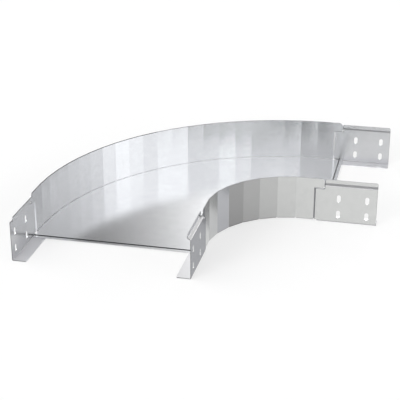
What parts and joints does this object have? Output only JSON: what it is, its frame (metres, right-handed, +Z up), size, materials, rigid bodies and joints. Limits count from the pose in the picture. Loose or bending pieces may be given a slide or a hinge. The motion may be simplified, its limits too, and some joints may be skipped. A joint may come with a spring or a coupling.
{
  "type": "cable tray bend",
  "caption": "Flat right-angle bend for a sheet-steel cable tray, with faceted folded sides, a quarter-ring floor and slotted couplers at both ends.",
  "frame": {"origin": "middle of the whole bend's box, on its underside", "axes": "+Z up from the floor, one end of the tray runs along +X and the other along -Y"},
  "size_m": [0.577, 0.577, 0.081],
  "materials": {
    "galvanised_sheet": "bright zinc-coated cold-rolled sheet"
  },
  "bodies": {
    "root": {"floor_plate": "galvanised_sheet", "outer_side": "galvanised_sheet", "inner_side": "galvanised_sheet"}
  },
  "joints": []
}
